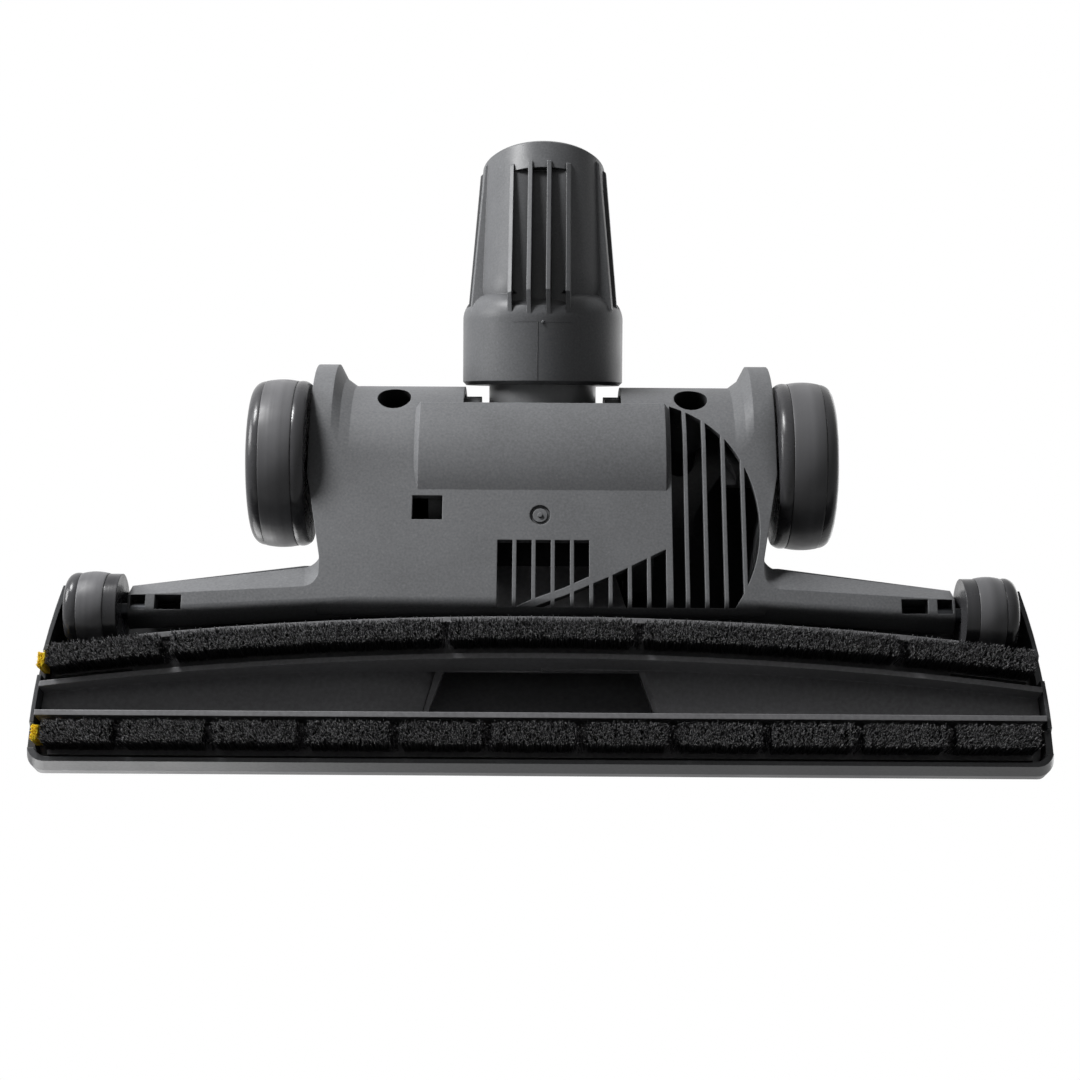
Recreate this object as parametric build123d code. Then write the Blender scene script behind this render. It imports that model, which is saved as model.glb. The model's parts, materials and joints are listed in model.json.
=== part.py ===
from build123d import *
import math
import os

# Vacuum floor brush head. X across, Y towards the rear, Z up from the floor, millimetres.
# Lengths named "..._back" are measured rearwards from the front edge of the head.

# Overall
overall_length = 196.8
head_width = 283.6
wall = 2.4
fit_gap = 0.15
running_gap = 0.08
through = 300.0
spare = 1.0
arc_bend = 1 - math.sqrt(0.5)

# Front bar and sole
lip_height = 6.0
flare_height = 12.0
flare = 1.2
corner_run = 5.0
end_taper = 6.0
end_middle_back = 34.0
end_middle_drop = 2.2
bar_back = 61.0
bar_end_back = 53.0
bar_front_height = 15.0
bar_end_height = 20.0
bar_rear_height = 29.0
bar_shoulder = 14.0
bar_crown_back = 18.0
bar_crown_dip = 2.0
bar_nose_bend = 6.0
bar_end_bend = 5.0
bar_end_lean = 3.0
bar_step = 1.6
post_places = (62.0, 104.0)
post_half = 1.0
post_front_back = 18.0
post_rear_back = 36.0
web_bottom = 15.0
web = 2.4
rib_bottom = 5.0
rib = 1.55
front_rib_back = 14.6
rear_rib_back = 31.8
back_wall_offset = 5.9
back_wall_bottom = 9.0
channel_end_drop = 3.6
mouth_front_half = 32.5
mouth_rear_half = 27.7
mouth_rear_back = 30.4
mouth_front_gap = 0.6
mouth_bevel = 1.4
chute_start = 56.0
chute_wall = 2.0

# Brush strips
front_strip_back = 8.5
rear_strip_back = 38.6
strip_width = 6.4
carrier_width = 8.4
carrier = 3.5
tip_height = 0.5
front_pitch = 25.3
front_shift = 1.8
front_tuft_count = 11
tuft_gap = 4.0
rear_gaps = (-100.0, -27.0, 26.5, 104.0)
strip_end_gap = 5.8
strip_half = head_width / 2 - strip_end_gap
tuft_length = 3.4
tuft_half = 3.0
tuft_top = 10.5
tuft_tip = 2.0
notch_half = 3.6
notch_depth = 8.0

# Rear housing
base_height = 8.5
arm_seam = 14.0
body_half = 68.0
body_front_half = 63.4
body_front_back = 62.0
body_straight_back = 88.0
plate_front_back = 45.6
plate_roll = 4.4
round_radius = 33.0
pivot_back = 94.2
pivot_height = base_height + round_radius
bulge_rise = 1.95
bulge_radius = round_radius + bulge_rise
bulge_front_angle = 20.0
bulge_half = 37.2
bulge_rear_angle = 29.5
bulge_bevel = 1.3
ear_shift = 7.2
ear_width = 6.2
ear_slope = 6.0
ear_sink = 0.4
ear_top = 54.0
hood_room = 1.1
hood_corner = 16.0
hood_start_back = 14.0
hood_start_height = 22.5
hood_knee_back = 38.0
hood_knee_height = 34.0
hood_crest_back = 60.0
hood_shoulder = 26.0
hood_side_drop = 6.0
hood_side_rise = 9.0
hood_side_lean = 1.0
hood_rear_bend = 18.0
ear_front = 4.0
ear_bend = 22.0
ear_round = 3.5

# Barrel, slot and neck
barrel_radius = 26.0
barrel_half = 33.0
barrel_wall = 2.2
hood_height = pivot_height + barrel_radius + hood_room + wall
ledge_radius = round_radius - wall - spare
bearing_gap = 0.3
saddle_inner = 25.4
saddle_thick = 4.9
slot_half = 18.8
slot_step = 4.6
ledge_thick = 2.6
ledge_start = 8.0
tilt_range = 70.0
slot_spare = 42.0
window_low = 35.0
window_high = 62.0
neck_drop = 24.0
elbow_back = 152.7
elbow_height = 23.6
stub_radius = 16.4
stub_wall = 2.4
stub_end = 3.0
stub_start = 4.0
collar_start = 33.6
collar_end = 53.5
collar_radius = 24.5
collar_wall = 2.4
collar_flange = 3.2
collar_edge = 1.0
shoulder = 8.0
ring_thick = 2.8
ring_radius = 20.5
ring_gap = 0.02
tube_root_radius = 20.0
tube_mouth_radius = 19.1
tube_chamfer = 0.8
socket_radius = 16.05
socket_depth = 38.0
airway_radius = 14.6
throat_lap = 4.0

# Fins on the socket
fin_pitch = 5.8
fin_thick = 1.3
fin_foot_radius = 19.5
fin_root_radius = 23.1
fin_tip_radius = 19.9
fin_nose = 1.2
fin_start = 52.2
fin_start_back = 136.4
fin_full_back = 143.5
fin_end_back = 190.0
fin_side_end_back = 195.0
fin_turn = -3.6
pocket_floor = 17.3
pocket_start = 56.5
pocket_full = 60.5
pocket_start_back = 130.0
pocket_end_back = 187.0
pocket_guard = 1.0

# Wheels and axles
rear_wheel_radius = 25.0
rear_wheel_gap = 0.7
rear_wheel_in = body_half + rear_wheel_gap
rear_wheel_width = 16.8
rear_axle_back = 97.4
rear_axle_radius = 3.0
rear_band = 4.65
rear_boss = 7.0
front_wheel_radius = 11.0
front_wheel_inset = 23.4
front_wheel_in = head_width / 2 - front_wheel_inset
wheel_room_gap = 0.8
front_wheel_width = 15.0
front_axle_back = 46.2
front_axle_radius = 2.0
front_band = 3.7
front_boss = 4.4
axle_boss = 6.5
axle_boss_depth = 14.0
axle_grip = 11.0
front_axle_grip = 6.6
wheel_face_step = 0.8
wheel_inner_share = 0.94
wheel_rim_share = 0.8
wheel_dish_share = 0.28
wheel_bend = 0.2
wheel_drop = 0.3
band_place = 0.5
band_depth = 1.4
band_step = 0.15
band_crown = 0.5
axle_head = 1.5
axle_head_thick = 1.2

# The rear strip bows forward to pass the small wheels
strip_wheel_gap = 0.37
front_tread_in = front_wheel_in + front_wheel_width * band_place - front_band
strip_bow = rear_strip_back + strip_width / 2 + strip_wheel_gap - front_axle_back + front_wheel_radius
strip_radius = (front_tread_in**2 + strip_bow**2) / (2 * strip_bow)

# Arms to the front wheels: backs at their root and at their end
arm_wheel_gap = 1.6
arm_room_gap = 0.4
arm_room_front = 0.6
arm_end = front_wheel_in - arm_wheel_gap
arm_root = 50.0
arm_low_front = (48.3, 44.6)
arm_low_rear = (54.0, 50.0)
arm_high_front = (45.6, 41.6)
arm_high_rear = (62.6, 54.6)
arm_fillet = 5.0
arm_bevel = 1.2
arm_roll = 3.0
arm_window_spans = ((0.7, 5.0), (7.6, 15.1))
arm_window_front = 45.9
arm_window_rear = 50.1

# Openings in the rear housing
grille_pitch = 5.474
grille_slot = 4.35
grille_first = 8.31
grille_count = 14
grille_front_back = 47.0
grille_rear_back = 112.0
grille_depth = 24.0
grille_edge = 47.4
grille_upper = (
    (12.76, 67.3),
    (-13.8, 67.3),
    (-13.8, 56.5),
    (-6.6, 53.0),
    (2.0, 49.7),
    (7.6, grille_edge),
    (12.76, grille_edge),
)
grille_lower = ((2.0, grille_edge), (-6.6, 50.6), (-19.4, 56.4), (-36.4, 65.2), (-36.4, grille_edge))
grille_side = ((-54.8, grille_edge), (-37.4, grille_edge), (-37.4, 111.5))
grille_side_bow = (-62.3, 68.0)
well_across = 44.0
well_back = 115.0
well_radius = 5.0
well_depth = 36.0
well_floor = 1.6
screw_radius = 1.6
screw_head = 3.7
screw_head_thick = 2.6
screw_length = 14.0
screw_boss = 4.6
screw_thread_gap = 0.05
screw_hole_gap = 0.4
cross_half = 2.4
cross_slot = 0.4
latch_hole = (28.6, 37.3, 73.4, 80.8)
dimple_across = 0.5
dimple_back = 75.0
dimple_radius = 3.0
dimple_ring = 0.9
dimple_depth = 0.7

# Suction duct
duct_half = 19.0
duct_low = 26.0
duct_high = 45.2
duct_wall = 1.8
duct_end_back = 65.0
seal_reach = 0.72


def y_at(back):
    """Y of a place given by its distance behind the front edge."""
    return back - overall_length / 2


def side_face(*edges):
    """Face in the YZ plane from edges drawn as (Y, Z)."""
    return Plane.YZ * make_face(list(edges))


def across(face, half):
    """Prism of a side face, centred on X = 0."""
    return extrude(face, amount=half, both=True)


def block(x0, x1, back0, back1, z0, z1):
    """Box between two corners."""
    size = (x1 - x0, back1 - back0, z1 - z0)
    return Pos((x0 + x1) / 2, y_at((back0 + back1) / 2), (z0 + z1) / 2) * Box(*size)


def plan_prism(points, z0, z1):
    """Upright prism over plan points given as (X, back)."""
    face = make_face([Polyline(*[(x, y_at(b)) for x, b in points], close=True)])
    return Pos(0, 0, z0) * extrude(face, amount=z1 - z0)


def rod(radius, x0, x1, back, height):
    """Cylinder along X."""
    turned = Cylinder(radius, x1 - x0, rotation=(0, 90, 0))
    return Pos((x0 + x1) / 2, y_at(back), height) * turned


def spun(edges, back, height):
    """Ring or disc about an X axis from edges drawn as (X, radius)."""
    return Pos(0, y_at(back), height) * revolve(make_face(edges), axis=Axis.X)


def pillar(radius, x, back, z0, z1):
    """Upright cylinder."""
    return Pos(x, y_at(back), (z0 + z1) / 2) * Cylinder(radius, z1 - z0)


def mirrored(shape):
    """The same shape on the other side."""
    return mirror(shape, about=Plane.YZ)


def both(shape):
    """A shape and its mirror image."""
    return shape + mirrored(shape)


def curved_band(centre_back, width, half, z0, z1):
    """Upright band concentric with the arc that the rear strip follows."""
    centre_y = y_at(rear_strip_back) - strip_radius
    middle = strip_radius + centre_back - rear_strip_back
    ring = Cylinder(middle + width / 2, z1 - z0) - Cylinder(middle - width / 2, z1 - z0 + spare)
    keep = block(-half, half, centre_back - through, centre_back + through, z0, z1)
    return Pos(0, centre_y, (z0 + z1) / 2) * ring & keep


def strip_drop(x):
    """How far the curved strip has come forward at a given X."""
    return strip_radius - math.sqrt(strip_radius**2 - x**2)


def head_plan(inset):
    """Plan outline of the front bar, drawn in by an inset."""
    side = head_width / 2 - inset
    rear_side = side - end_taper
    front = y_at(inset)
    rear = y_at(bar_back - inset)
    rear_end = y_at(bar_end_back - inset)
    corner = y_at(inset + corner_run)
    middle = side - end_middle_drop
    bow = y_at(end_middle_back)
    right = ThreePointArc((side, corner), (middle, bow), (rear_side, rear_end))
    left = ThreePointArc((-rear_side, rear_end), (-middle, bow), (-side, corner))
    round_x = side - corner_run
    bend = corner_run * arc_bend
    return make_face(
        [
            Line((-round_x, front), (round_x, front)),
            ThreePointArc((round_x, front), (side - bend, front + bend), (side, corner)),
            right,
            Polyline(
                (rear_side, rear_end),
                (arm_end, y_at(bar_end_back + bar_step - inset)),
                (body_half, rear),
                (-body_half, rear),
                (-arm_end, y_at(bar_end_back + bar_step - inset)),
                (-rear_side, rear_end),
            ),
            left,
            ThreePointArc((-side, corner), (bend - side, front + bend), (-round_x, front)),
        ]
    )


def inside_plan(inset, z0, z1):
    """Upright prism of the front bar's plan."""
    return Pos(0, 0, z0) * extrude(head_plan(inset), amount=z1 - z0)


def bar_volume(inset, floor):
    """Front bar without its hollow, from a floor height to its domed top."""
    top = bar_rear_height - inset
    nose = bar_front_height - inset
    front = y_at(inset)
    rear = y_at(bar_back + spare)
    side = side_face(
        Polyline((rear, top), (rear, floor), (front, floor), (front, nose)),
        Bezier(
            (front, nose),
            (front, nose + bar_nose_bend),
            (y_at(bar_crown_back), top - bar_crown_dip),
            (rear, top),
        ),
    )
    half = head_width / 2 - inset
    edge = bar_end_height - inset
    low = floor - spare
    high = top + spare
    flat = half - bar_shoulder
    side_end = ((half, edge), (half, edge + bar_end_bend), (half - bar_end_lean, top), (flat, high))
    ends = make_face(
        [
            Polyline((-half, edge), (-half, low), (half, low), (half, edge)),
            Bezier(*side_end),
            Line((flat, high), (-flat, high)),
            Bezier(*[(-x, z) for x, z in reversed(side_end)]),
        ]
    )
    front_view = extrude(Plane.XZ * ends, amount=overall_length, both=True)
    upright = Pos(0, 0, floor) * extrude(head_plan(inset), amount=through)
    return upright & across(side, head_width) & front_view


def hood_volume(inset, floor):
    """Hood over duct and barrel, from a floor height up."""
    top = hood_height - inset
    start = y_at(hood_start_back + inset)
    start_z = hood_start_height - inset
    peak = y_at(pivot_back)
    rear = y_at(pivot_back + round_radius - inset)
    side = side_face(
        Polyline((rear, pivot_height), (rear, floor), (start, floor), (start, start_z)),
        Bezier(
            (start, start_z),
            (y_at(hood_knee_back + inset), hood_knee_height - inset),
            (y_at(hood_crest_back + inset), top),
            (peak, top),
        ),
        Bezier(
            (peak, top),
            (y_at(pivot_back + hood_rear_bend), top),
            (rear, pivot_height + hood_corner),
            (rear, pivot_height),
        ),
    )
    half = body_half - inset
    flat = half - hood_shoulder
    rise = top - hood_corner
    low = floor - spare
    high = top + spare
    side_end = (
        (half, rise - hood_side_drop),
        (half - hood_side_lean, rise + hood_side_rise),
        (half - hood_side_rise, top + spare / 2),
        (flat, high),
    )
    ends = make_face(
        [
            Polyline((-half, side_end[0][1]), (-half, low), (half, low), side_end[0]),
            Bezier(*side_end),
            Line((flat, high), (-flat, high)),
            Bezier(*[(-x, z) for x, z in reversed(side_end)]),
        ]
    )
    front_view = extrude(Plane.XZ * ends, amount=overall_length, both=True)
    plan = plan_prism(body_plan(inset, hood_start_back), floor, hood_height)
    return across(side, body_half) & front_view & plan


def body_plan(inset, start_back):
    """Plan points of the tapered rear body."""
    half = body_half - inset
    front_half = body_front_half - inset
    rear = pivot_back + round_radius
    return [
        (-front_half, start_back),
        (front_half, start_back),
        (front_half, body_front_back),
        (half, body_straight_back),
        (half, rear),
        (-half, rear),
        (-half, body_straight_back),
        (-front_half, body_front_back),
    ]


def slot_ring(half, low, reach):
    """Part of a ring about the barrel axis, from the rear rim of the plate upwards."""
    high = round_radius + through
    face = make_face([Polyline((-half, low), (half, low), (half, high), (-half, high), close=True)])
    ring = revolve(face, axis=Axis.X, revolution_arc=reach)
    return Pos(0, y_at(pivot_back), pivot_height) * Rot(bulge_rear_angle - 90, 0, 0) * ring


def slot_cut():
    """Slot that the neck stub swings through, wider outside up to the seam."""
    rise = 90 - bulge_rear_angle
    narrow = slot_ring(slot_half, barrel_radius - slot_step, rise + tilt_range + slot_spare)
    return narrow + slot_ring(slot_half + slot_step, ledge_radius, rise)


def ledges():
    """Ledges inside the slot, carried by the bearing rings."""
    low = ledge_radius - ledge_thick
    corners = [
        (slot_half / 2, low),
        (saddle_inner + spare, low),
        (saddle_inner + spare, ledge_radius),
        (slot_half / 2, ledge_radius),
    ]
    ring = spun([Polyline(*corners, close=True)], pivot_back, pivot_height)
    keep = block(slot_half, through, pivot_back + ledge_start, through, 0, pivot_height)
    return both(ring & keep)


def saddles(z0, z1):
    """Two bearing half rings for the barrel, between two heights."""
    inner = barrel_radius + bearing_gap
    corners = [
        (saddle_inner, inner),
        (barrel_half, inner),
        (barrel_half, inner + saddle_thick),
        (saddle_inner, inner + saddle_thick),
    ]
    ring = spun([Polyline(*corners, close=True)], pivot_back, pivot_height)
    keep = block(0, through, pivot_back - through, pivot_back + through, z0, z1)
    return both(ring & keep)


def end_notches():
    """Gaps in the end walls where the brush channels run out."""
    half = head_width / 2
    drop = strip_drop(half)
    cuts = Part()
    for back in (front_strip_back, rear_strip_back - drop):
        cuts += block(half - notch_depth, half + spare, back - notch_half, back + notch_half, 0, tuft_top)
    return both(cuts)


def top_cover():
    """Upper shell with lip, end walls, hood and inner ribs."""
    skirt = loft(
        [
            Pos(0, 0, lip_height) * head_plan(flare).face(),
            Pos(0, 0, flare_height) * head_plan(0).face(),
        ],
        ruled=True,
    )
    outer = skirt + bar_volume(0, flare_height) + hood_volume(0, flare_height)
    inner = bar_volume(wall, lip_height - spare) + hood_volume(wall, lip_height - spare)
    shell = outer + both(cheek(ear_cap_face)) - inner
    aside = body_half + ear_width
    shell -= block(-aside, aside, body_front_back - fit_gap, through, 0, pivot_height)
    shell -= block(-aside, aside, arm_high_front[1], body_front_back, 0, arm_seam)
    shell -= arm_room()
    web_top = web_bottom + web
    posts = Part()
    for x in post_places:
        rib_block = block(x - post_half, x + post_half, post_front_back, post_rear_back, web_top, through)
        posts += rib_block & bar_volume(wall / 2, web_top)
    shell += both(posts)
    shell += saddles(pivot_height, hood_height) & hood_volume(wall / 2, flare_height)
    boss = pillar(screw_boss, well_across, well_back, pivot_height, hood_height)
    shell += both(boss) & hood_volume(wall / 2, flare_height)
    thread = screw_radius + screw_thread_gap
    hole = pillar(thread, well_across, well_back, 0, well_depth + screw_length + spare)
    return shell - both(hole) - slot_cut() - end_notches()


def arm_room():
    """Room under the front bar for the arms and the small wheels."""
    start = rear_strip_back - arm_room_front
    room = block(arm_root, arm_end + arm_room_gap, start, through, 0, arm_seam)
    outer = front_wheel_in + front_wheel_width + arm_room_gap
    arch = rod(front_wheel_radius + wheel_room_gap, arm_end, outer, front_axle_back, front_wheel_radius)
    drop = block(arm_end, outer, front_axle_back, bar_back, 0, front_wheel_radius)
    return both(room + arch + drop)


def base_outline():
    """Side face of the rear housing."""
    pivot_y = y_at(pivot_back)
    rear = pivot_y + round_radius
    front = y_at(plate_front_back)
    corner = round_radius * math.sqrt(0.5)
    bend = plate_roll * arc_bend
    return side_face(
        Polyline(
            (rear, pivot_height),
            (y_at(body_front_back), pivot_height),
            (y_at(body_front_back), arm_seam),
            (front, arm_seam),
            (front, base_height + plate_roll),
        ),
        ThreePointArc(
            (front, base_height + plate_roll),
            (front + bend, base_height + bend),
            (front + plate_roll, base_height),
        ),
        Line((front + plate_roll, base_height), (pivot_y, base_height)),
        ThreePointArc(
            (pivot_y, base_height),
            (pivot_y + corner, pivot_height - corner),
            (rear, pivot_height),
        ),
    )


def base_hollow():
    """Inside of the rear housing."""
    pivot_y = y_at(pivot_back)
    front = y_at(plate_front_back)
    radius = round_radius - wall
    corner = radius * math.sqrt(0.5)
    face = side_face(
        Polyline(
            (pivot_y + radius, pivot_height),
            (pivot_y + radius, hood_height),
            (front + wall, hood_height),
            (front + wall, base_height + plate_roll),
            (front + plate_roll, base_height + wall),
            (pivot_y, base_height + wall),
        ),
        ThreePointArc(
            (pivot_y, base_height + wall),
            (pivot_y + corner, pivot_height - corner),
            (pivot_y + radius, pivot_height),
        ),
    )
    return across(face, body_half) & plan_prism(body_plan(wall, plate_front_back), 0, hood_height)


def arm():
    """One arm towards a front wheel, its lower front edge rounded."""
    faces = []
    for front, rear, z in (
        (arm_low_front, arm_low_rear, base_height),
        (arm_high_front, arm_high_rear, arm_seam),
    ):
        points = [(arm_root, front[0]), (arm_end, front[1]), (arm_end, rear[1]), (arm_root, rear[0])]
        flat = make_face([Polyline(*[(x, y_at(b)) for x, b in points], close=True)])
        faces.append(Pos(0, 0, z) * flat.face())
    sharp = loft(faces, ruled=True)
    edge = sharp.edges().group_by(Axis.Z)[0].sort_by(Axis.Y)[0]
    return fillet(edge, arm_roll)


def arm_gusset():
    """Hollow-curved web between an arm's rear edge and the body's side."""
    faces = []
    for rear, drawn_in, z in (
        (arm_low_rear, arm_bevel, base_height),
        (arm_high_rear, 0, arm_seam),
    ):
        slope = (rear[1] - rear[0]) / (arm_end - arm_root)
        near = body_front_half - spare
        far = body_front_half + arm_fillet - drawn_in
        start = (near, y_at(rear[0] + slope * (near - arm_root) - spare))
        foot = (far, y_at(rear[0] + slope * (far - arm_root)))
        low = (far, y_at(rear[0] + slope * (far - arm_root) - spare))
        head = (near, y_at(rear[0] + slope * (near - arm_root) + arm_fillet))
        top = (body_front_half, head[1])
        bend = (
            body_front_half + (arm_fillet - drawn_in) * arc_bend,
            foot[1] + (head[1] - foot[1]) * arc_bend,
        )
        outline = [Polyline(top, head, start, low, foot), ThreePointArc(foot, bend, top)]
        faces.append(Pos(0, 0, z) * make_face(outline).face())
    return loft(faces, ruled=True)


def arm_windows():
    """Two windows in each arm that show the axle."""
    cuts = Part()
    for near, far in arm_window_spans:
        cuts += block(arm_end - far, arm_end - near, arm_window_front, arm_window_rear, 0, arm_seam + spare)
    return both(cuts)


def cheek(side):
    """Cheek beside a wheel, its inner side hollowed, from a side face that takes a rearward shift."""
    inner = body_half - ear_width
    plate = Pos(inner, 0, 0) * extrude(side(ear_shift), amount=ear_width)
    sections = []
    for part in (0, 0.4, 1):
        shift = ear_shift * (1 - part) ** 2 - ear_sink * part
        sections.append(Pos(inner - ear_slope * part, 0, 0) * side(shift).face())
    return plate + loft(sections, ruled=True)


def ear_cap_face(shift):
    """Side face of the upper half of the cheek, moulded on the cover."""
    front = y_at(pivot_back)
    rear = y_at(pivot_back + shift + round_radius)
    return side_face(
        Polyline((rear, pivot_height), (front, pivot_height), (front, ear_top)),
        Bezier(
            (front, ear_top),
            (y_at(pivot_back + ear_bend), ear_top),
            (rear, pivot_height + ear_round),
            (rear, pivot_height),
        ),
    )


def ear_face(shift):
    """Side face of the lower half of the cheek."""
    centre = y_at(pivot_back + shift)
    corner = round_radius * math.sqrt(0.5)
    return side_face(
        Polyline(
            (centre + round_radius, pivot_height),
            (y_at(pivot_back - ear_front), pivot_height),
            (y_at(pivot_back - ear_front), base_height),
            (centre, base_height),
        ),
        ThreePointArc(
            (centre, base_height),
            (centre + corner, pivot_height - corner),
            (centre + round_radius, pivot_height),
        ),
    )


def bulge():
    """Low swelling of the underside below the barrel."""
    low = round_radius - wall / 2
    flat = bulge_half - bulge_bevel
    corners = [
        (-bulge_half, low),
        (bulge_half, low),
        (bulge_half, round_radius),
        (flat, bulge_radius),
        (-flat, bulge_radius),
        (-bulge_half, round_radius),
    ]
    ring = spun([Polyline(*corners, close=True)], pivot_back, pivot_height)
    pivot_y = y_at(pivot_back)
    reach = 2 * bulge_radius
    front = math.radians(bulge_front_angle)
    rear = math.radians(bulge_rear_angle)
    sector = side_face(
        Polyline(
            (pivot_y, pivot_height),
            (pivot_y - reach * math.sin(front), pivot_height - reach * math.cos(front)),
            (pivot_y + reach * math.sin(rear), pivot_height - reach * math.cos(rear)),
            close=True,
        )
    )
    return ring & across(sector, bulge_half)


def grille_area():
    """Plan areas that the grille slots stay inside."""
    corners = [(x, y_at(b)) for x, b in grille_side]
    bow = (grille_side_bow[0], y_at(grille_side_bow[1]))
    arc = make_face([Polyline(*corners), ThreePointArc(corners[2], bow, corners[0])])
    flat = [plan_prism(points, 0, grille_depth) for points in (grille_upper, grille_lower)]
    return flat + [extrude(arc, amount=grille_depth)]


def grille_slots():
    """Long slots at one pitch, trimmed to the grille areas."""
    slots = Part()
    for k in range(grille_count):
        right = grille_first - grille_pitch * k
        slots += block(right, right + grille_slot, grille_front_back, grille_rear_back, 0, grille_depth)
    cuts = Part()
    for area in grille_area():
        cuts += slots & area
    return cuts


def rear_base():
    """Lower housing: tub, arms, cheeks, saddles, wells and grille."""
    plan = plan_prism(body_plan(0, plate_front_back), 0, hood_height)
    hollow = base_hollow()
    tub = (across(base_outline(), body_half) & plan) - hollow
    above = block(-through, through, 0, through, base_height + wall, through)
    tub += both(arm() + arm_gusset()) - (hollow & above)
    tub += both(cheek(ear_face) - hollow)
    tub += bulge()
    tub += saddles(base_height + spare, pivot_height)
    tub += ledges()
    well = pillar(well_radius + well_floor, well_across, well_back, base_height, pivot_height)
    envelope = across(base_outline(), body_half)
    tub += both(well & envelope)
    boss = rod(axle_boss, body_half - axle_boss_depth, body_half, rear_axle_back, rear_wheel_radius)
    tub += both(boss)
    tub -= both(rod(rear_axle_radius, body_half - axle_grip, through, rear_axle_back, rear_wheel_radius))
    grip = arm_end - front_axle_grip
    tub -= both(rod(front_axle_radius, grip, through, front_axle_back, front_wheel_radius))
    tub -= both(pillar(well_radius, well_across, well_back, 0, well_depth - well_floor))
    tub -= both(pillar(screw_radius + screw_hole_gap, well_across, well_back, 0, pivot_height + spare))
    tub -= arm_windows()
    tub -= grille_slots()
    x0, x1, b0, b1 = latch_hole
    tub -= block(x0, x1, b0, b1, 0, base_height + wall + spare)
    sunk = base_height + dimple_depth
    tub -= pillar(dimple_radius, dimple_across, dimple_back, 0, sunk)
    ring = dimple_radius - dimple_ring
    tub += pillar(ring, dimple_across, dimple_back, base_height + dimple_depth / 2, sunk + spare)
    tub += pillar(dimple_depth, dimple_across, dimple_back, base_height - dimple_depth / 6, sunk + spare)
    return tub - slot_cut()


def sole_plate():
    """Front sole with ribs, ramps and the suction mouth."""
    top = web_bottom + web
    half = head_width / 2
    inside = bar_volume(wall + fit_gap, rib_bottom) & block(-half, half, 0, through, rib_bottom, top)
    rear_wall_back = rear_strip_back + back_wall_offset
    area = curved_band(rear_wall_back / 2, rear_wall_back, half, rib_bottom, top)
    sole = inside & area & block(-half, half, 0, through, web_bottom, top)
    front_rib = block(-half, half, front_rib_back - rib / 2, front_rib_back + rib / 2, rib_bottom, top)
    rear_rib = curved_band(rear_rib_back, rib, half, rib_bottom, top)
    back_wall = curved_band(rear_wall_back - rib / 2, rib, front_wheel_in - spare, back_wall_bottom, top)
    channel = curved_band(rear_rib_back / 2, rear_rib_back, half, rib_bottom, through)
    channel &= block(-half, half, front_rib_back, through, rib_bottom, through)
    sole += both(side_ramp() & channel) & inside
    sole = chute(sole, channel)
    sole += (front_rib + rear_rib + back_wall) & inside
    return sole - mouth_cut() - end_notches() - wheel_room()


def chute(sole, channel):
    """Sole with its channel ceiling rolled up into the mouth on the +X side."""
    end = mouth_front_half + duct_wall
    fall = channel_end_drop / (head_width / 2 - mouth_front_half)
    low = web_bottom - fall * (chute_start - mouth_front_half)
    rise = web_bottom + web - low
    radius = ((chute_start - end) ** 2 + rise**2) / (2 * rise)
    place = Pos(chute_start, 0, low + radius)
    drum = place * Cylinder(radius, overall_length, rotation=(90, 0, 0))
    core = place * Cylinder(radius - chute_wall, overall_length, rotation=(90, 0, 0))
    span = channel & block(0, chute_start, 0, through, rib_bottom, low + radius)
    clear = plan_prism(mouth_points(duct_wall + fit_gap), 0, through)
    clear &= block(0, through, 0, through, 0, through)
    return sole - (span - drum) + ((drum - core) & span) - clear


def mouth_cut():
    """Suction mouth with bevelled ends."""
    top = web_bottom + web
    faces = []
    for grow, z in ((mouth_bevel, web_bottom), (0, web_bottom + mouth_bevel)):
        points = [(x + math.copysign(grow, x), y_at(back)) for x, back in mouth_points(0)]
        faces.append(Pos(0, 0, z) * make_face([Polyline(*points, close=True)]).face())
    return plan_prism(mouth_points(0), 0, top + spare) + loft(faces, ruled=True)


def wheel_room():
    """Clearance round the front wheels."""
    low = front_wheel_in - wheel_room_gap
    radius = front_wheel_radius + wheel_room_gap
    return both(rod(radius, low, through, front_axle_back, front_wheel_radius))


def side_ramp():
    """Sloped ceiling of the suction channel towards one end."""
    half = head_width / 2
    points = [
        (mouth_rear_half, web_bottom + spare),
        (half, web_bottom + spare),
        (half, web_bottom - channel_end_drop),
        (mouth_front_half, web_bottom),
        (mouth_rear_half, web_bottom),
    ]
    face = make_face([Polyline(*points, close=True)])
    return extrude(Plane.XZ * face, amount=overall_length, both=True)


def mouth_points(grow):
    """Plan of the suction mouth, wider at the front."""
    front = front_rib_back + rib / 2 + mouth_front_gap - grow
    rear = mouth_rear_back + grow
    wide = mouth_front_half + grow
    narrow = mouth_rear_half + grow
    return [(-wide, front), (wide, front), (narrow, rear), (-narrow, rear)]


def duct_loft(grow):
    """Duct body, from the mouth up to the barrel."""
    top = web_bottom + web
    low = make_face([Polyline(*[(x, y_at(b)) for x, b in mouth_points(grow)], close=True)])
    half = duct_half + grow
    end = Plane(
        origin=(0, y_at(duct_end_back), 0), x_dir=(1, 0, 0), z_dir=(0, 1, 0)
    )
    points = [
        (-half, -duct_high - grow),
        (half, -duct_high - grow),
        (half, -duct_low + grow),
        (-half, -duct_low + grow),
    ]
    high = end * make_face([Polyline(*points, close=True)])
    return loft([Pos(0, 0, top) * low.face(), high.face()], ruled=True)


def suction_duct():
    """Duct shell."""
    return duct_loft(duct_wall) - duct_loft(0)


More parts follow.
